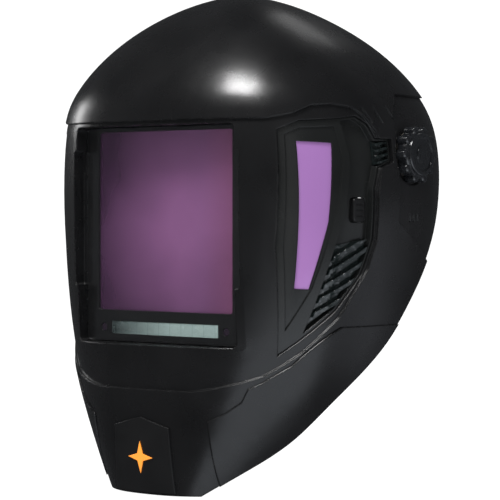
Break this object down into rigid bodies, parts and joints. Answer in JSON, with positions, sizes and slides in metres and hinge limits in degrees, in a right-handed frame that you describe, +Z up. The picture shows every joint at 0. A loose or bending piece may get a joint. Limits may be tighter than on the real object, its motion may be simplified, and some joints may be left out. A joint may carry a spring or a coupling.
{
  "type": "welding helmet",
  "caption": "Black auto-darkening welding helmet with a large front filter window, violet side windows, tilting shell on lobed pivot knobs and ratchet headgear.",
  "frame": {"origin": "midpoint of the tilt axis between the two pivot knobs, between the wearer's temples", "axes": "+X to the wearer's left, -Y the way the helmet faces, +Z up; the shell is lowered at rest"},
  "size_m": [0.2564, 0.2728, 0.3149],
  "materials": {
    "shell_plastic": "satin black moulded shell",
    "plate_plastic": "fine textured black",
    "emblem_orange": "satin orange",
    "insert_plastic": "gloss black",
    "side_lens": "violet interference coating",
    "black_plastic": "matt black",
    "smoke_plastic": "smoky gloss",
    "steel": "zinc plated",
    "clear_lens": "clear polycarbonate",
    "main_lens": "violet interference coating",
    "solar": "pale teal cell strip",
    "sensor": "dark domed sensor",
    "board_green": "solder mask",
    "knob_plastic": "gloss black",
    "grey_plastic": "dark grey",
    "headgear_plastic": "flexible nylon, satin",
    "washer_fibre": "fibre",
    "sweat_fabric": "terry covered foam"
  },
  "bodies": {
    "headgear": {"front_band": "headgear_plastic", "side_arm_left": "headgear_plastic", "side_arm_right": "headgear_plastic", "crown_strap_front": "headgear_plastic", "crown_strap_rear": "headgear_plastic", "strap_studs": "headgear_plastic", "sweatband": "sweat_fabric"},
    "rear_band": {"rear_strap_left": "headgear_plastic", "rear_strap_right": "headgear_plastic", "ratchet_case": "headgear_plastic", "ratchet_cover": "headgear_plastic", "pawl_spring": "steel", "rear_pad": "sweat_fabric"},
    "ratchet": {"ratchet_knob": "knob_plastic", "ratchet_pinion": "grey_plastic"},
    "carriage": {"pivot_stud_left": "steel", "pivot_stud_right": "steel", "slide_block_left": "grey_plastic", "slide_block_right": "grey_plastic", "tilt_stop_left": "grey_plastic", "tilt_stop_right": "grey_plastic", "friction_washer_left": "washer_fibre", "friction_washer_right": "washer_fibre"},
    "helmet": {"shell": "shell_plastic", "chin_plate": "plate_plastic", "chin_emblem": "emblem_orange", "side_insert_left": "insert_plastic", "side_insert_right": "insert_plastic", "side_lens_left": "side_lens", "side_lens_right": "side_lens", "side_lens_retainer_left": "black_plastic", "side_lens_retainer_right": "black_plastic", "upper_vent_left": "smoke_plastic", "upper_vent_right": "smoke_plastic", "lower_vent_left": "smoke_plastic", "lower_vent_right": "smoke_plastic", "insert_screws": "steel", "grind_switch": "grey_plastic", "front_cover_lens": "clear_lens", "adf_front_case": "black_plastic", "lcd_filter": "main_lens", "solar_cell": "solar", "arc_sensors": "sensor", "adf_board": "board_green", "adf_back_case": "black_plastic", "inner_cover_lens": "clear_lens", "adf_retainer": "black_plastic", "control_case": "black_plastic", "control_board": "board_green"},
    "pivot_knob_left": {"pivot_knob_left": "knob_plastic"},
    "pivot_knob_right": {"pivot_knob_right": "knob_plastic"},
    "battery_drawer_left": {"battery_tray_left": "grey_plastic", "battery_cell_left": "steel"},
    "battery_drawer_right": {"battery_tray_right": "grey_plastic", "battery_cell_right": "steel"},
    "grind_button": {"grind_button": "plate_plastic"},
    "shade_knob": {"shade_knob": "grey_plastic"},
    "sensitivity_knob": {"sensitivity_knob": "grey_plastic"},
    "delay_knob": {"delay_knob": "grey_plastic"},
    "test_button": {"test_button": "grey_plastic"}
  },
  "joints": [
    {"name": "face_distance", "type": "slide", "parent": "headgear", "child": "carriage", "axis": [0, 1, 0], "range_m": [-0.01, 0.01]},
    {"name": "tilt", "type": "hinge", "parent": "carriage", "child": "helmet", "pos_m": [0, 0, 0], "axis": [-1, 0, 0], "range_deg": [0, 65]},
    {"name": "tension_left", "type": "hinge", "parent": "carriage", "child": "pivot_knob_left", "pos_m": [0.123, 0, 0], "axis": [1, 0, 0], "range_deg": [-180, 180]},
    {"name": "tension_right", "type": "hinge", "parent": "carriage", "child": "pivot_knob_right", "pos_m": [-0.123, 0, 0], "axis": [-1, 0, 0], "range_deg": [-180, 180]},
    {"name": "band_size", "type": "slide", "parent": "headgear", "child": "rear_band", "axis": [0, 0.9602, -0.2794], "range_m": [-0.01, 0.01]},
    {"name": "ratchet_turn", "type": "hinge", "parent": "rear_band", "child": "ratchet", "pos_m": [0, 0.1295, -0.04402], "axis": [0, 1, 0], "range_deg": [-181, 181]},
    {"name": "left_battery_slide", "type": "slide", "parent": "helmet", "child": "battery_drawer_left", "axis": [1, 0, 0], "range_m": [0, 0.0235]},
    {"name": "right_battery_slide", "type": "slide", "parent": "helmet", "child": "battery_drawer_right", "axis": [-1, 0, 0], "range_m": [0, 0.0235]},
    {"name": "grind_press", "type": "slide", "parent": "helmet", "child": "grind_button", "axis": [-1, 0, 0], "range_m": [0, 0.0015], "stiffness_N_per_m": 600, "springref_m": -0.002},
    {"name": "test_press", "type": "slide", "parent": "helmet", "child": "test_button", "axis": [0, -1, 0], "range_m": [0, 0.001], "stiffness_N_per_m": 600, "springref_m": -0.002},
    {"name": "shade_turn", "type": "hinge", "parent": "helmet", "child": "shade_knob", "pos_m": [-0.02, -0.0671, -0.122], "axis": [0, 1, 0], "range_deg": [-135, 135]},
    {"name": "sensitivity_turn", "type": "hinge", "parent": "helmet", "child": "sensitivity_knob", "pos_m": [0, -0.0671, -0.122], "axis": [0, 1, 0], "range_deg": [-135, 135]},
    {"name": "delay_turn", "type": "hinge", "parent": "helmet", "child": "delay_knob", "pos_m": [0.02, -0.0671, -0.122], "axis": [0, 1, 0], "range_deg": [-135, 135]}
  ],
  "couplings": [
    {"joint": "ratchet_turn", "follows": "band_size", "rad_per_m": 314}
  ]
}
